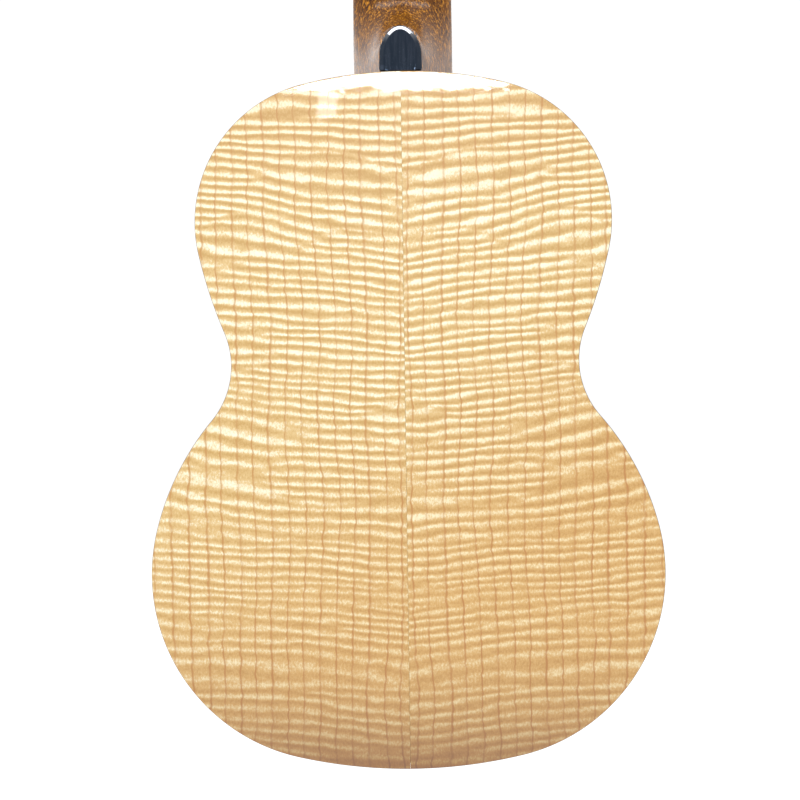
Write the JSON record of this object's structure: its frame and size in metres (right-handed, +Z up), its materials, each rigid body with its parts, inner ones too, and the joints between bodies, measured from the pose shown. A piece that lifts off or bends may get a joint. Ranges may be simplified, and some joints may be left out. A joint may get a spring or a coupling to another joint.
{
  "type": "concert ukulele",
  "caption": "Concert ukulele: bookmatched flamed maple back, spruce soundboard, mahogany neck with carved heel and ebony cap, and open-gear tuners.",
  "frame": {"origin": "inside the headstock just above the nut, midway between the two cheeks where the arms of a wall hanger carry it", "axes": "+Z up along the neck to the tip of the headstock, -Y the way the soundboard faces, +Y the way the back faces, +X to the right seen from the soundboard side"},
  "size_m": [0.206, 0.0807, 0.5991],
  "materials": {
    "flamed_maple": "flamed maple, clear gloss lacquer",
    "spruce": "gloss lacquer",
    "mahogany": "gloss lacquer over filled grain",
    "bracing_spruce": "bare",
    "ebony": "polished",
    "rosewood": "oiled",
    "bone": "polished bone",
    "nylon": "clear-white fluorocarbon or nylon",
    "nickel_plate": "nickel plated",
    "brass": "machined",
    "button_plastic": "moulded gloss black"
  },
  "bodies": {
    "instrument": {"back_brace_lower": "bracing_spruce", "back_brace_middle": "bracing_spruce", "back_brace_upper": "bracing_spruce", "back_left": "flamed_maple", "back_lining_left": "bracing_spruce", "back_lining_right": "bracing_spruce", "back_right": "flamed_maple", "back_seam_strip": "bracing_spruce", "bridge": "rosewood", "bridge_plate": "flamed_maple", "fan_brace_centre": "bracing_spruce", "fan_brace_left": "bracing_spruce", "fan_brace_right": "bracing_spruce", "fingerboard": "rosewood", "head_veneer": "ebony", "heel_cap": "ebony", "neck": "mahogany", "neck_block": "mahogany", "neck_bolt": "nickel_plate", "neck_insert": "brass", "nut": "bone", "rosette": "rosewood", "saddle": "bone", "side_left": "flamed_maple", "side_right": "flamed_maple", "soundboard_left": "spruce", "soundboard_right": "spruce", "string_a": "nylon", "string_c": "nylon", "string_e": "nylon", "string_g": "nylon", "tail_block": "mahogany", "top_brace_lower": "bracing_spruce", "top_brace_upper": "bracing_spruce", "top_lining_left": "bracing_spruce", "top_lining_right": "bracing_spruce", "tuner_bushing_1": "nickel_plate", "tuner_bushing_2": "nickel_plate", "tuner_bushing_3": "nickel_plate", "tuner_bushing_4": "nickel_plate", "tuner_plate_1": "nickel_plate", "tuner_plate_2": "nickel_plate", "tuner_plate_3": "nickel_plate", "tuner_plate_4": "nickel_plate"},
    "button_1": {"tuner_worm_1": "nickel_plate", "tuner_button_1": "button_plastic"},
    "post_1": {"tuner_post_1": "nickel_plate", "tuner_gear_1": "brass"},
    "button_2": {"tuner_worm_2": "nickel_plate", "tuner_button_2": "button_plastic"},
    "post_2": {"tuner_post_2": "nickel_plate", "tuner_gear_2": "brass"},
    "button_3": {"tuner_worm_3": "nickel_plate", "tuner_button_3": "button_plastic"},
    "post_3": {"tuner_post_3": "nickel_plate", "tuner_gear_3": "brass"},
    "button_4": {"tuner_worm_4": "nickel_plate", "tuner_button_4": "button_plastic"},
    "post_4": {"tuner_post_4": "nickel_plate", "tuner_gear_4": "brass"}
  },
  "joints": [
    {"name": "tuner_1_button", "type": "hinge", "parent": "instrument", "child": "button_1", "pos_m": [-0.016, 0.01361, 0.00871], "axis": [1, 0, 0], "continuous": true},
    {"name": "tuner_1_post", "type": "hinge", "parent": "instrument", "child": "post_1", "pos_m": [-0.016, -0.00277, 0.01911], "axis": [0, 0.9744, -0.225], "continuous": true},
    {"name": "tuner_2_button", "type": "hinge", "parent": "instrument", "child": "button_2", "pos_m": [-0.016, 0.02171, 0.04379], "axis": [1, 0, 0], "continuous": true},
    {"name": "tuner_2_post", "type": "hinge", "parent": "instrument", "child": "post_2", "pos_m": [-0.016, 0.00533, 0.05419], "axis": [0, 0.9744, -0.225], "continuous": true},
    {"name": "tuner_3_button", "type": "hinge", "parent": "instrument", "child": "button_3", "pos_m": [0.016, 0.02171, 0.04379], "axis": [1, 0, 0], "continuous": true},
    {"name": "tuner_3_post", "type": "hinge", "parent": "instrument", "child": "post_3", "pos_m": [0.016, 0.00533, 0.05419], "axis": [0, 0.9744, -0.225], "continuous": true},
    {"name": "tuner_4_button", "type": "hinge", "parent": "instrument", "child": "button_4", "pos_m": [0.016, 0.01361, 0.00871], "axis": [1, 0, 0], "continuous": true},
    {"name": "tuner_4_post", "type": "hinge", "parent": "instrument", "child": "post_4", "pos_m": [0.016, -0.00277, 0.01911], "axis": [0, 0.9744, -0.225], "continuous": true}
  ],
  "couplings": [
    {"joint": "tuner_1_post", "follows": "tuner_1_button", "ratio": 0.071429},
    {"joint": "tuner_2_post", "follows": "tuner_2_button", "ratio": 0.071429},
    {"joint": "tuner_3_post", "follows": "tuner_3_button", "ratio": 0.071429},
    {"joint": "tuner_4_post", "follows": "tuner_4_button", "ratio": 0.071429}
  ]
}
